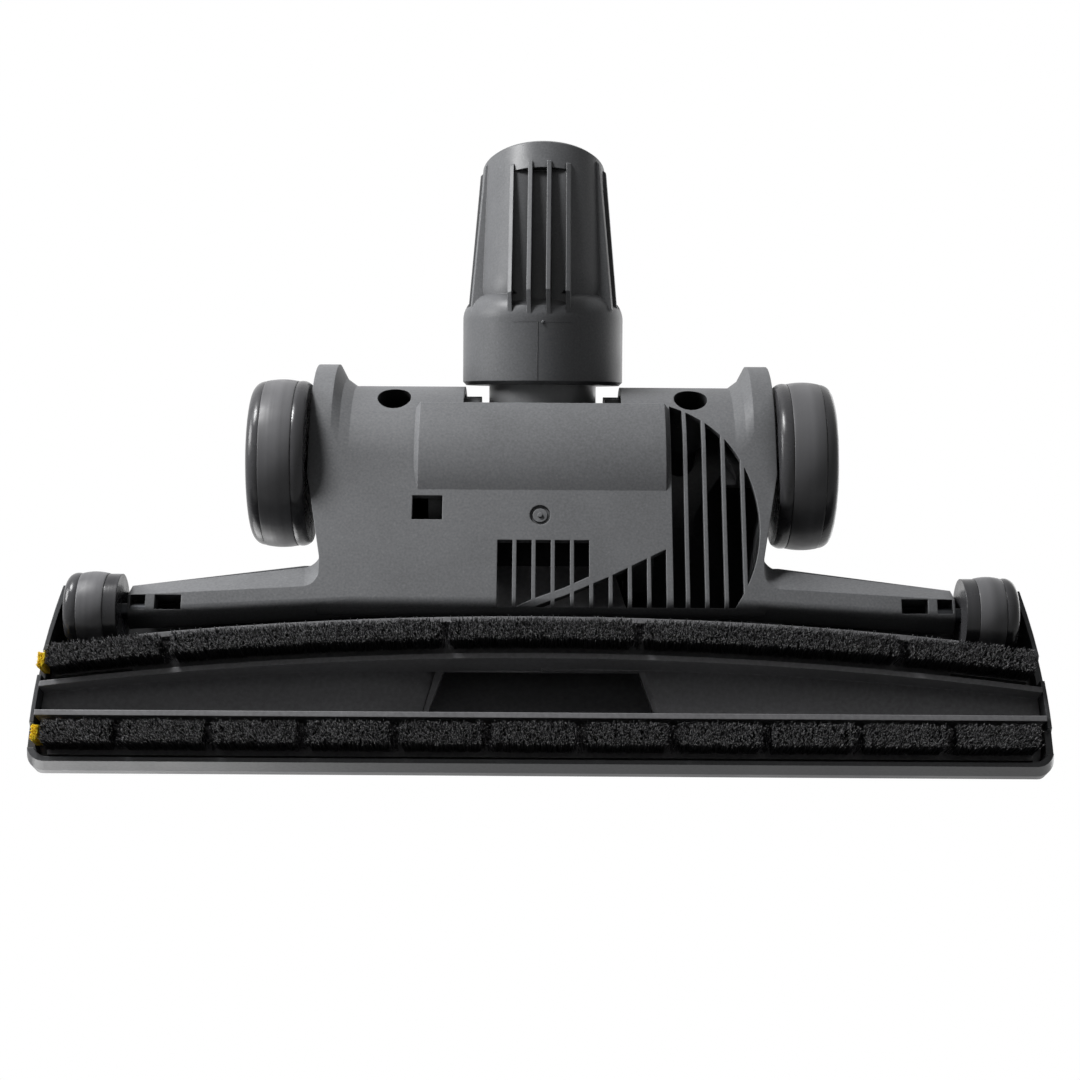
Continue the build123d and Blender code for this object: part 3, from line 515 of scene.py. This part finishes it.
def pick_faces(piece: bpy.types.Object, wanted: Callable[[bmesh.types.BMFace], bool]) -> None:
    """Selects some faces of the piece in edit mode.

    Args:
        piece: Piece in edit mode.
        wanted: Says of one face whether it is selected.
    """
    bpy.ops.mesh.select_mode(type="FACE")
    bpy.ops.mesh.select_all(action="DESELECT")
    mesh = bmesh.from_edit_mesh(piece.data)
    for face in mesh.faces:
        face.select_set(wanted(face))
    mesh.select_flush_mode()
    bmesh.update_edit_mesh(piece.data)


def settle(piece: bpy.types.Object, name: str, body: Body) -> None:
    """Puts a piece's place into its mesh, names it and hangs it on a body.

    Args:
        piece: New piece, selected and active.
        name: Its name.
        body: Body that it rides on.
    """
    bpy.ops.object.transform_apply(location=True, rotation=True, scale=True)
    piece.name = name
    piece.data.name = name
    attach(piece, body.value)
    LOG.info("built %s with %d faces", name, len(piece.data.polygons))


@dataclass
class FilamentModel:
    """One filament of unit length and width, modelled once and copied."""

    tip_share: float = 0.85
    sides: int = 3

    def build(self) -> tuple[np.ndarray, list[tuple[int, ...]]]:
        """Models the filament.

        Returns:
            Its points, with Z from 0 at the root to 1 at the tip, and its faces.
        """
        half = 0.5
        deselect()
        bpy.ops.mesh.primitive_cone_add(
            vertices=self.sides, radius1=half, radius2=half * self.tip_share, depth=1.0, location=(0, 0, half)
        )
        piece = bpy.context.object
        bpy.ops.object.transform_apply(location=True)
        bpy.ops.object.mode_set(mode="EDIT")
        pick_faces(piece, lambda face: all(vert.co.z < half for vert in face.verts))
        bpy.ops.mesh.delete(type="FACE")
        bpy.ops.object.mode_set(mode="OBJECT")
        points = np.array([vert.co[:] for vert in piece.data.vertices])
        faces = [tuple(face.vertices) for face in piece.data.polygons]
        bpy.data.meshes.remove(piece.data)
        return points, faces


@dataclass
class BrushFilaments:
    """Filaments of one piece: where they are rooted, how they lean and how long they are."""

    SHADE = "shade"
    REACH = "reach"

    name: str
    nodes: tuple[str, ...]
    slot: Slot
    seed: int
    roots: np.ndarray
    leans: np.ndarray
    widths: np.ndarray
    shades: np.ndarray

    def build(self, wardrobe: Wardrobe) -> None:
        """Copies the filament to each root, as a piece that stands for the plain solid.

        Args:
            wardrobe: Materials.
        """
        points, faces = FilamentModel().build()
        turns = np.random.default_rng(self.seed).uniform(0, 2 * math.pi, len(self.roots))
        cos, sin = np.cos(turns)[:, None], np.sin(turns)[:, None]
        across = points[None, :, 0] * self.widths[:, None], points[None, :, 1] * self.widths[:, None]
        along = points[None, :, 2]
        x = self.roots[:, None, 0] + across[0] * cos - across[1] * sin + self.leans[:, None, 0] * along
        y = self.roots[:, None, 1] + across[0] * sin + across[1] * cos + self.leans[:, None, 1] * along
        z = self.roots[:, None, 2] + self.leans[:, None, 2] * along
        cloud = np.stack([x, y, z], axis=2).reshape(-1, 3)
        copies = [
            tuple(corner + at * len(points) for corner in face)
            for at in range(len(self.roots))
            for face in faces
        ]
        mesh = bpy.data.meshes.new(self.name)
        mesh.from_pydata(cloud.tolist(), [], copies)
        shade = mesh.attributes.new(self.SHADE, "FLOAT", "POINT")
        shade.data.foreach_set("value", np.repeat(self.shades, len(points)))
        reach = mesh.attributes.new(self.REACH, "FLOAT", "POINT")
        reach.data.foreach_set("value", np.tile(points[:, 2], len(self.roots)))
        piece = bpy.data.objects.new(self.name, mesh)
        bpy.context.collection.objects.link(piece)
        wardrobe.dress(piece, self.slot)
        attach(piece, Body.HEAD.value)
        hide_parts(*self.nodes)
        LOG.info("built %s with %d filaments", self.name, len(self.roots))


@dataclass
class BrushStrips:
    """Straight front strip and curved rear strip, each cut into tufts by gaps."""

    front_seed: int = 11
    rear_seed: int = 21
    arc_radius_mm: float = 1074.7
    width_mm: float = 6.4
    half_mm: float = 136.0
    count: int = 28000
    thick_mm: float = 0.18
    thick_spread: Span = (0.75, 1.2)
    inset_mm: float = 0.6
    length_spread: float = 0.09
    length_power: int = 2
    lean_along_mm: float = 0.4
    lean_across_mm: float = 0.35
    splay: float = 0.06
    overhang_mm: float = 0.4
    shade_power: float = 1.5
    gap_mm: float = 4.0
    stray_share: float = 0.16
    stray_length: Span = (0.6, 0.85)
    pull_reach_mm: float = 2.0
    pull_mm: float = 0.9
    front_pitch_mm: float = 25.3
    front_shift_mm: float = 1.8
    front_gaps: int = 10
    rear_gaps_mm: tuple[float, ...] = (-100.0, -27.0, 26.5, 104.0)

    def front_gap_places(self) -> list[float]:
        """Places of the gaps along the front strip, in millimetres."""
        first = self.front_shift_mm - (self.front_gaps - 1) / 2 * self.front_pitch_mm
        return [first + self.front_pitch_mm * at for at in range(self.front_gaps)]

    def strip(self, name: str, node: str, gaps: Sequence[float], curved: bool, seed: int) -> BrushFilaments:
        """Plants the filaments of one strip.

        Args:
            name: Name of the piece.
            node: Plain solid that it stands for.
            gaps: Middles of the gaps between tufts, in millimetres.
            curved: Whether the strip follows the arc.
            seed: Start of the random numbers.

        Returns:
            The planted filaments.
        """
        low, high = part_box(node)
        rng = np.random.default_rng(seed)
        along = rng.uniform(-self.half_mm, self.half_mm, self.count)
        across = rng.uniform(-0.5, 0.5, self.count) * (self.width_mm - self.thick_mm - self.inset_mm)
        to_gaps = np.abs([along - gap for gap in gaps])
        to_gap = np.min(to_gaps, axis=0)
        side = np.sign(along - np.array(gaps)[np.argmin(to_gaps, axis=0)])
        inside = to_gap < self.gap_mm / 2
        keep = ~inside | (rng.random(self.count) < self.stray_share)
        middle = mm(high.y * 1000 - self.width_mm / 2)
        drop = self.arc_radius_mm - np.sqrt(self.arc_radius_mm**2 - along**2) if curved else 0 * along
        depth = (high.z - low.z) * 1000
        length = depth * (1.0 - self.length_spread * rng.random(self.count) ** self.length_power)
        length = np.where(inside, length * rng.uniform(*self.stray_length, self.count), length)
        pulled = to_gap < self.gap_mm / 2 + self.pull_reach_mm
        pull = np.where(pulled, -side * rng.uniform(0.0, self.pull_mm, self.count), 0.0)
        lean_x = rng.normal(0.0, self.lean_along_mm, self.count) + pull
        lean_y = rng.normal(0.0, self.lean_across_mm, self.count) + across * self.splay
        most = self.width_mm / 2 + self.overhang_mm
        lean_y = np.clip(across + lean_y, -most, most) - across
        roots = np.stack(
            [mm(1) * along, middle + mm(1) * (across - drop), np.full(self.count, high.z)], axis=1
        )
        leans = np.stack([lean_x, lean_y, -length], axis=1) * mm(1)
        widths = mm(self.thick_mm) * rng.uniform(*self.thick_spread, self.count)
        shades = rng.random(self.count) ** self.shade_power
        return BrushFilaments(
            name, (node,), Slot.BRISTLE, seed, roots[keep], leans[keep], widths[keep], shades[keep]
        )

    def build(self, wardrobe: Wardrobe) -> None:
        """Builds and dresses both strips.

        Args:
            wardrobe: Materials.
        """
        front_gaps_mm = self.front_gap_places()
        front = self.strip("front_filaments", "front_bristles", front_gaps_mm, False, self.front_seed)
        front.build(wardrobe)
        rear = self.strip("rear_filaments", "rear_bristles", self.rear_gaps_mm, True, self.rear_seed)
        rear.build(wardrobe)


@dataclass
class EndTufts:
    """Yellow tufts in the two notches of one end wall."""

    seed: int = 31
    turn_seed: int = 32
    count: int = 900
    size_mm: float = 6.0
    inner_mm: float = 1.0
    outer_mm: float = 1.5
    filled: Span = (0.18, 0.82)
    lean_x_mm: Span = (-0.2, 0.4)
    lean_y_mm: float = 0.25
    length: Span = (0.75, 0.92)
    thick_mm: float = 0.34
    thick_spread: Span = (0.8, 1.2)

    def build(self, wardrobe: Wardrobe) -> None:
        """Plants, builds and dresses the filaments.

        Args:
            wardrobe: Materials.
        """
        low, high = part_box("edge_tufts")
        rng = np.random.default_rng(self.seed)
        size = mm(self.size_mm)
        start = np.where(rng.random(self.count) < 0.5, high.y - size, low.y)
        x = rng.uniform(low.x + mm(self.inner_mm), high.x - mm(self.outer_mm), self.count)
        y = start + rng.uniform(*self.filled, self.count) * size
        roots = np.stack([x, y, np.full(self.count, high.z)], axis=1)
        lean_x = rng.uniform(*self.lean_x_mm, self.count) * mm(1)
        lean_y = rng.normal(0.0, self.lean_y_mm, self.count) * mm(1)
        length = rng.uniform(*self.length, self.count) * (high.z - low.z)
        leans = np.stack([lean_x, lean_y, -length], axis=1)
        widths = mm(self.thick_mm) * rng.uniform(*self.thick_spread, self.count)
        shades = rng.random(self.count)
        filaments = BrushFilaments(
            "yellow_filaments", ("edge_tufts",), Slot.YELLOW, self.turn_seed, roots, leans, widths, shades
        )
        filaments.build(wardrobe)


@dataclass
class NeckMarks:
    """Parting lines and sprue nub that the mould left on the collar."""

    foot: Vector = field(default_factory=lambda: Vector((0.0, -0.001173, 0.048298)))
    drop_deg: float = 24.0
    collar_radius_mm: float = 24.5
    start_mm: float = 34.8
    end_mm: float = 52.0
    side_mm: float = 1.6
    arc_half_mm: float = 9.2
    line_mm: float = 0.3
    proud_mm: float = 0.04
    bevel_share: float = 0.6
    nub_mm: float = 0.55
    nub_flat: float = 0.7

    def __post_init__(self) -> None:
        """Sets the direction of the neck, the direction straight down from it, and the lines' end."""
        drop = math.radians(self.drop_deg)
        self.along = Vector((0.0, math.cos(drop), -math.sin(drop)))
        self.down = Vector((0.0, -math.sin(drop), -math.cos(drop)))
        self.end = self.foot + self.along * mm(self.end_mm)

    def build(self, wardrobe: Wardrobe) -> None:
        """Builds and dresses the lines and the nub.

        Args:
            wardrobe: Materials.
        """
        for model, name in (
            (self.line, "collar_parting_line"),
            (self.arc, "collar_arc_line"),
            (self.nub, "sprue_nub"),
        ):
            deselect()
            piece = model()
            settle(piece, name, Body.TUBE)
            wardrobe.dress(piece, Slot.NECK)

    def line(self) -> bpy.types.Object:
        """Models the fine line along the collar."""
        turn = Matrix((Vector((1, 0, 0)), self.along, -self.down)).transposed().to_euler()
        radius = math.sqrt(self.collar_radius_mm**2 - self.side_mm**2) + self.proud_mm / 2
        middle = self.foot + self.along * mm((self.start_mm + self.end_mm) / 2) + self.down * mm(radius)
        bpy.ops.mesh.primitive_cube_add(
            size=1.0, location=middle + Vector((mm(self.side_mm), 0, 0)), rotation=turn
        )
        line = bpy.context.object
        line.scale = (mm(self.line_mm), mm(self.end_mm - self.start_mm), mm(self.proud_mm * 2))
        bpy.ops.object.transform_apply(location=False, rotation=False, scale=True)
        bpy.ops.object.mode_set(mode="EDIT")
        bpy.ops.mesh.select_all(action="SELECT")
        bpy.ops.mesh.bevel(offset=mm(self.proud_mm * self.bevel_share), segments=2, affect="EDGES")
        bpy.ops.object.mode_set(mode="OBJECT")
        return line

    def arc(self) -> bpy.types.Object:
        """Models the fine line round the collar at the foot of the fins."""
        turn = Matrix((Vector((1, 0, 0)), self.down, self.along)).transposed().to_euler()
        bpy.ops.mesh.primitive_torus_add(
            major_radius=mm(self.collar_radius_mm),
            minor_radius=mm(self.proud_mm),
            major_segments=180,
            minor_segments=8,
            location=self.end,
            rotation=turn,
        )
        arc = bpy.context.object
        bpy.ops.object.transform_apply(location=True, rotation=True)
        bpy.ops.object.mode_set(mode="EDIT")
        half = mm(self.arc_half_mm)
        for point, outwards in (
            (Vector((half, 0, 0)), Vector((1, 0, 0))),
            (Vector((-half, 0, 0)), Vector((-1, 0, 0))),
            (self.end, -self.down),
        ):
            bpy.ops.mesh.select_all(action="SELECT")
            bpy.ops.mesh.bisect(plane_co=point, plane_no=outwards, use_fill=True, clear_outer=True)
        bpy.ops.object.mode_set(mode="OBJECT")
        return arc

    def nub(self) -> bpy.types.Object:
        """Models the small sprue nub on the arc."""
        spot = self.end + self.down * mm(self.collar_radius_mm)
        bpy.ops.mesh.primitive_uv_sphere_add(segments=14, ring_count=8, radius=mm(self.nub_mm), location=spot)
        nub = bpy.context.object
        bpy.ops.object.mode_set(mode="EDIT")
        bpy.ops.mesh.select_all(action="SELECT")
        bpy.ops.transform.resize(value=(1.0, 1.0, self.nub_flat))
        bpy.ops.object.mode_set(mode="OBJECT")
        bpy.ops.object.shade_smooth()
        return nub


@dataclass
class Lamp:
    """One soft lamp: where it hangs, how wide it is and how strong."""

    name: str
    place: tuple[float, float, float]
    size: float
    power: float
    aim: tuple[float, float, float] = (0.0, 0.0, 0.02)

    def hang(self) -> None:
        """Adds the lamp and turns it to its aim."""
        data = bpy.data.lights.new(self.name, "AREA")
        data.shape = "DISK"
        data.size = self.size
        data.energy = self.power
        lamp = bpy.data.objects.new(self.name, data)
        lamp.visible_camera = False
        lamp.location = self.place
        lamp.rotation_euler = (Vector(self.aim) - Vector(self.place)).to_track_quat("-Z", "Y").to_euler()
        bpy.context.collection.objects.link(lamp)


@dataclass
class Studio:
    """Floor, world, lamps and the camera at the photograph's viewing angle."""

    image_px: float = 1080.0
    focal_px: float = 2000.0
    sensor_mm: float = 36.0
    tilt_deg: float = 20.5
    roll_deg: float = 0.36
    distance: float = 0.571
    aim: tuple[float, float, float] = (0.000485, -0.0311, 0.0085)
    ambient: float = 0.05
    clip: Span = (0.01, 20.0)
    floor_size: float = 8.0
    paint: Finish = Finish("floor_paint", "#f1f1ef", 0.9, gloss=0.1)
    lamps: tuple[Lamp, ...] = (
        Lamp("key_low_rear", (0.42, 0.50, -0.33), 0.22, 7.9),
        Lamp("side_low_left", (0.58, 0.18, -0.14), 0.25, 2.8),
        Lamp("fill_low_front", (0.50, -0.75, -0.14), 0.5, 0.35),
        Lamp("key_high", (0.55, -0.6, 0.85), 0.7, 5.5),
        Lamp("fill_high", (-0.7, 0.3, 0.7), 0.9, 3.0),
    )

    def build(self) -> None:
        """Builds the whole studio."""
        self.world()
        self.floor()
        for lamp in self.lamps:
            lamp.hang()
        self.camera()
        bpy.context.scene.view_settings.view_transform = "Standard"

    def world(self) -> None:
        """Sets the world: white to the eye and in reflections, dimmer as light."""
        world = bpy.data.worlds.new("studio")
        bpy.context.scene.world = world
        world.use_nodes = True
        tree = world.node_tree
        tree.nodes.clear()
        rays = add_node(tree, "ShaderNodeLightPath")
        seen = combine(tree, "MAXIMUM", rays.outputs["Is Camera Ray"], rays.outputs["Is Glossy Ray"])
        shown = combine(tree, "MAXIMUM", seen, rays.outputs["Is Transmission Ray"])
        light = add_node(tree, "ShaderNodeBackground", {"Color": linear("#ffffff"), "Strength": self.ambient})
        white = add_node(tree, "ShaderNodeBackground", {"Color": linear("#ffffff"), "Strength": 1.0})
        both = add_node(
            tree,
            "ShaderNodeMixShader",
            {0: shown, 1: light.outputs["Background"], 2: white.outputs["Background"]},
        )
        add_node(tree, "ShaderNodeOutputWorld", {"Surface": both.outputs["Shader"]})

    def floor(self) -> None:
        """Lays the pale floor, which is clear from below so that the underside can be seen."""
        deselect()
        bpy.ops.mesh.primitive_plane_add(size=self.floor_size, location=(0, 0, 0))
        floor = bpy.context.object
        floor.name = "floor"
        material, tree, shader = self.paint.start()
        under = add_node(tree, "ShaderNodeNewGeometry").outputs["Backfacing"]
        clear = add_node(tree, "ShaderNodeBsdfTransparent").outputs["BSDF"]
        mixed = add_node(tree, "ShaderNodeMixShader", {0: under, 1: shader.outputs["BSDF"], 2: clear})
        tree.links.new(mixed.outputs["Shader"], tree.nodes["Material Output"].inputs["Surface"])
        floor.data.materials.append(material)
        floor.visible_diffuse = False
        floor.visible_glossy = False
        floor.visible_transmission = False
        floor.visible_shadow = False

    def camera(self) -> None:
        """Stands the camera below and in front, looking up at the sole."""
        tilt = math.radians(self.tilt_deg)
        look = Vector((0.0, math.sin(tilt), math.cos(tilt)))
        up = Vector((0.0, math.cos(tilt), -math.sin(tilt)))
        right = look.cross(up)
        data = bpy.data.cameras.new("photo_camera")
        data.sensor_width = self.sensor_mm
        data.lens = self.sensor_mm * self.focal_px / self.image_px
        data.clip_start, data.clip_end = self.clip
        camera = bpy.data.objects.new("photo_camera", data)
        turn = Matrix((right, up, -look)).transposed() @ Matrix.Rotation(math.radians(self.roll_deg), 3, "Z")
        place = Matrix.Translation(Vector(self.aim) - look * self.distance)
        camera.matrix_world = place @ turn.to_4x4()
        bpy.context.collection.objects.link(camera)
        bpy.context.scene.camera = camera


def main() -> None:
    """Builds the part's looks and the studio."""
    logging.basicConfig(level=logging.INFO, format="%(message)s")
    wardrobe = Wardrobe()
    wardrobe.dress_nodes()
    BrushStrips().build(wardrobe)
    EndTufts().build(wardrobe)
    NeckMarks().build(wardrobe)
    Studio().build()


if __name__ == "__main__":
    main()
